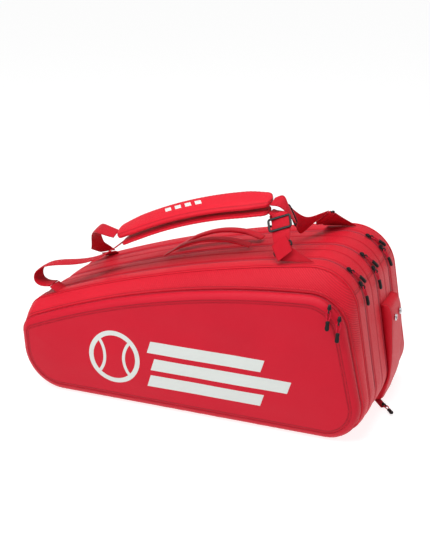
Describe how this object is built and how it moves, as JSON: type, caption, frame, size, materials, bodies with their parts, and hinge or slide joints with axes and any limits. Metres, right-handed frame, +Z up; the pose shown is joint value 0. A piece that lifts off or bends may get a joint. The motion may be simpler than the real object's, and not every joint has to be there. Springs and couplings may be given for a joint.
{
  "type": "racket tournament bag",
  "caption": "Long padded racket bag with three zipped compartments, a domed front pocket, a ventilated end pocket, twin grab handles and padded shoulder straps.",
  "frame": {"origin": "on the face the bag stands on, under the middle of its base: half way between the front seam line and the back across the compartments, at the corner arcs' reference in length", "axes": "+X along the length towards the tall end with the end pocket, +Y from the front pocket towards the back panel, +Z up"},
  "size_m": [0.7607, 0.3505, 0.4304],
  "materials": {
    "black_hardware": "satin black",
    "black_rubber": "matte moulded",
    "red_cord": "braided",
    "zip_coil": "coil",
    "eyelet_metal": "polished",
    "red_webbing": "woven",
    "pad_fabric": "padded satin weave",
    "divider_lining": "quilted lining",
    "handle_fabric": "folded and stitched",
    "pocket_fabric": "satin weave",
    "ribbed_fabric": "fine diagonal rib",
    "shell_fabric": "satin weave"
  },
  "bodies": {
    "rear_shell": {"rear_gusset": "shell_fabric", "back_panel": "shell_fabric", "rear_zip_tape": "zip_coil", "rear_strap_anchors": "red_webbing"},
    "rear_middle": {"rear_divider_gusset": "shell_fabric", "rear_divider": "divider_lining", "rear_divider_zip_tapes": "zip_coil"},
    "front_middle": {"front_divider_gusset": "shell_fabric", "front_divider": "divider_lining", "front_divider_zip_tapes": "zip_coil"},
    "front_shell": {"front_gusset": "shell_fabric", "front_panel": "shell_fabric", "front_yoke": "ribbed_fabric", "front_zip_tapes": "zip_coil", "front_strap_anchors": "red_webbing"},
    "pocket": {"pocket_cover": "pocket_fabric", "pocket_zip_tape": "zip_coil"},
    "shoe_pocket_door": {"shoe_pocket": "shell_fabric", "shoe_pocket_eyelets": "eyelet_metal"},
    "rear_strap": {"upper_pad": "pad_fabric", "rear_webbing_right": "red_webbing", "rear_webbing_left": "red_webbing", "rear_ring": "black_hardware"},
    "front_strap": {"lower_pad": "pad_fabric", "front_webbing_right": "red_webbing", "front_webbing_left": "red_webbing", "front_ring": "black_hardware"},
    "front_slide_buckle": {"front_buckle": "black_hardware"},
    "rear_slide_buckle": {"rear_buckle": "black_hardware"},
    "front_grab": {"front_grab_handle": "handle_fabric"},
    "rear_grab": {"rear_grab_handle": "handle_fabric"},
    "front_zip_upper_slide": {"front_zip_upper_slider": "black_hardware"},
    "front_zip_upper_pull": {"front_zip_upper_pull_cord": "red_cord", "front_zip_upper_pull_end": "black_rubber"},
    "front_zip_lower_slide": {"front_zip_lower_slider": "black_hardware"},
    "front_zip_lower_pull": {"front_zip_lower_pull_cord": "red_cord", "front_zip_lower_pull_end": "black_rubber"},
    "middle_zip_upper_slide": {"middle_zip_upper_slider": "black_hardware"},
    "middle_zip_upper_pull": {"middle_zip_upper_pull_cord": "red_cord", "middle_zip_upper_pull_end": "black_rubber"},
    "middle_zip_lower_slide": {"middle_zip_lower_slider": "black_hardware"},
    "middle_zip_lower_pull": {"middle_zip_lower_pull_cord": "red_cord", "middle_zip_lower_pull_end": "black_rubber"},
    "rear_zip_upper_slide": {"rear_zip_upper_slider": "black_hardware"},
    "rear_zip_upper_pull": {"rear_zip_upper_pull_cord": "red_cord", "rear_zip_upper_pull_end": "black_rubber"},
    "rear_zip_lower_slide": {"rear_zip_lower_slider": "black_hardware"},
    "rear_zip_lower_pull": {"rear_zip_lower_pull_cord": "red_cord", "rear_zip_lower_pull_end": "black_rubber"},
    "pocket_zip_upper_slide": {"pocket_zip_upper_slider": "black_hardware"},
    "pocket_zip_upper_pull": {"pocket_zip_upper_pull_cord": "red_cord", "pocket_zip_upper_pull_end": "black_rubber"},
    "pocket_zip_lower_slide": {"pocket_zip_lower_slider": "black_hardware"},
    "pocket_zip_lower_pull": {"pocket_zip_lower_pull_cord": "red_cord", "pocket_zip_lower_pull_end": "black_rubber"},
    "shoe_zip_slide": {"shoe_zip_slider": "black_hardware"},
    "shoe_zip_pull": {"shoe_zip_pull_cord": "red_cord", "shoe_zip_pull_end": "black_rubber"}
  },
  "joints": [
    {"name": "rear_compartment_open", "type": "hinge", "parent": "rear_shell", "child": "rear_middle", "pos_m": [0, 0.118, 0], "axis": [1, 0, 0], "range_deg": [0, 40]},
    {"name": "middle_compartment_open", "type": "hinge", "parent": "rear_middle", "child": "front_middle", "pos_m": [0, 0.026, 0], "axis": [1, 0, 0], "range_deg": [0, 40]},
    {"name": "front_compartment_open", "type": "hinge", "parent": "front_middle", "child": "front_shell", "pos_m": [0, -0.066, 0], "axis": [1, 0, 0], "range_deg": [0, 40]},
    {"name": "front_pocket_open", "type": "hinge", "parent": "front_shell", "child": "pocket", "pos_m": [0, -0.15, 0.003], "axis": [1, 0, 0], "range_deg": [0, 50]},
    {"name": "shoe_pocket_open", "type": "hinge", "parent": "rear_middle", "child": "shoe_pocket_door", "pos_m": [0.37, 0.112, 0.1], "axis": [0, 0, 1], "range_deg": [0, 70]},
    {"name": "rear_strap_swing", "type": "hinge", "parent": "rear_shell", "child": "rear_strap", "pos_m": [0.2084, 0.0985, 0.3554], "axis": [0.9592, -0.0524, 0.2778], "range_deg": [-60, 0], "deforming": ["rear_strap_anchors"]},
    {"name": "front_strap_swing", "type": "hinge", "parent": "front_shell", "child": "front_strap", "pos_m": [0.1839, -0.097, 0.3449], "axis": [0.9633, -0.0096, 0.2682], "range_deg": [0, 60]},
    {"name": "front_buckle_slide", "type": "slide", "parent": "front_strap", "child": "front_slide_buckle", "axis": [0.3449, -0.5999, -0.7219], "range_m": [-0.003, 0.003]},
    {"name": "rear_buckle_slide", "type": "slide", "parent": "rear_strap", "child": "rear_slide_buckle", "axis": [-0.3023, 0.9309, -0.2052], "range_m": [-0.001, 0.003]},
    {"name": "front_grab_fold", "type": "hinge", "parent": "front_middle", "child": "front_grab", "pos_m": [-0.012, 0.002, 0.286], "axis": [0.9738, 0, 0.2276], "range_deg": [0, 30]},
    {"name": "rear_grab_fold", "type": "hinge", "parent": "rear_middle", "child": "rear_grab", "pos_m": [-0.004, 0.05, 0.288], "axis": [0.9748, 0, 0.223], "range_deg": [-30, 0]},
    {"name": "front_zip_upper_travel", "type": "hinge", "parent": "front_middle", "child": "front_zip_upper_slide", "pos_m": [0.25, -0.066, 0.24], "axis": [0, 1, 0], "range_deg": [-11, 0]},
    {"name": "front_zip_upper_pull_swing", "type": "hinge", "parent": "front_zip_upper_slide", "child": "front_zip_upper_pull", "pos_m": [0.31081, -0.066, 0.30991], "axis": [-0.3798, 0.8829, 0.2759], "range_deg": [-100, 0]},
    {"name": "front_zip_lower_travel", "type": "hinge", "parent": "front_middle", "child": "front_zip_lower_slide", "pos_m": [0.25, -0.066, 0.24], "axis": [0, 1, 0], "range_deg": [0, 12]},
    {"name": "front_zip_lower_pull_swing", "type": "hinge", "parent": "front_zip_lower_slide", "child": "front_zip_lower_pull", "pos_m": [0.33257, -0.066, 0.28204], "axis": [0.0738, 0.9903, -0.118], "range_deg": [-100, 0]},
    {"name": "middle_zip_upper_travel", "type": "hinge", "parent": "rear_middle", "child": "middle_zip_upper_slide", "pos_m": [0.25, 0.026, 0.24], "axis": [0, 1, 0], "range_deg": [-11, 0]},
    {"name": "middle_zip_upper_pull_swing", "type": "hinge", "parent": "middle_zip_upper_slide", "child": "middle_zip_upper_pull", "pos_m": [0.31081, 0.026, 0.30991], "axis": [-0.3798, 0.8829, 0.2759], "range_deg": [-100, 0]},
    {"name": "middle_zip_lower_travel", "type": "hinge", "parent": "rear_middle", "child": "middle_zip_lower_slide", "pos_m": [0.25, 0.026, 0.24], "axis": [0, 1, 0], "range_deg": [0, 12]},
    {"name": "middle_zip_lower_pull_swing", "type": "hinge", "parent": "middle_zip_lower_slide", "child": "middle_zip_lower_pull", "pos_m": [0.33257, 0.026, 0.28204], "axis": [0.0554, 0.9945, -0.0886], "range_deg": [-100, 0]},
    {"name": "rear_zip_upper_travel", "type": "hinge", "parent": "rear_shell", "child": "rear_zip_upper_slide", "pos_m": [0.25, 0.118, 0.24], "axis": [0, 1, 0], "range_deg": [-11, 0]},
    {"name": "rear_zip_upper_pull_swing", "type": "hinge", "parent": "rear_zip_upper_slide", "child": "rear_zip_upper_pull", "pos_m": [0.29774, 0.118, 0.31941], "axis": [-0.422, 0.8829, 0.2058], "range_deg": [-100, 0]},
    {"name": "rear_zip_lower_travel", "type": "hinge", "parent": "rear_shell", "child": "rear_zip_lower_slide", "pos_m": [0.25, 0.118, 0.24], "axis": [0, 1, 0], "range_deg": [0, 12]},
    {"name": "rear_zip_lower_pull_swing", "type": "hinge", "parent": "rear_zip_lower_slide", "child": "rear_zip_lower_pull", "pos_m": [0.32401, 0.118, 0.29574], "axis": [0.0583, 0.9962, -0.0648], "range_deg": [-100, 0]},
    {"name": "pocket_zip_upper_travel", "type": "hinge", "parent": "pocket", "child": "pocket_zip_upper_slide", "pos_m": [0.255, -0.165, 0.212], "axis": [0, 1, 0], "range_deg": [-14, 0]},
    {"name": "pocket_zip_upper_pull_swing", "type": "hinge", "parent": "pocket_zip_upper_slide", "child": "pocket_zip_upper_pull", "pos_m": [0.2976, -0.17173, 0.26639], "axis": [1, 0, 0], "range_deg": [-80, 0]},
    {"name": "pocket_zip_lower_travel", "type": "hinge", "parent": "pocket", "child": "pocket_zip_lower_slide", "pos_m": [0.255, -0.165, 0.212], "axis": [0, 1, 0], "range_deg": [0, 14]},
    {"name": "pocket_zip_lower_pull_swing", "type": "hinge", "parent": "pocket_zip_lower_slide", "child": "pocket_zip_lower_pull", "pos_m": [0.31721, -0.17173, 0.24608], "axis": [1, 0, 0], "range_deg": [-80, 0]},
    {"name": "shoe_zip_travel", "type": "slide", "parent": "rear_middle", "child": "shoe_zip_slide", "axis": [0.3011, 0, 0.9536], "range_m": [0, 0.03]},
    {"name": "shoe_zip_pull_swing", "type": "hinge", "parent": "shoe_zip_slide", "child": "shoe_zip_pull", "pos_m": [0.36986, 0.00752, 0.0067], "axis": [-0.8, -0.6, 0], "range_deg": [-90, 0]}
  ],
  "couplings": [
    {"joint": "front_strap_swing", "follows": "rear_strap_swing", "ratio": -1}
  ]
}
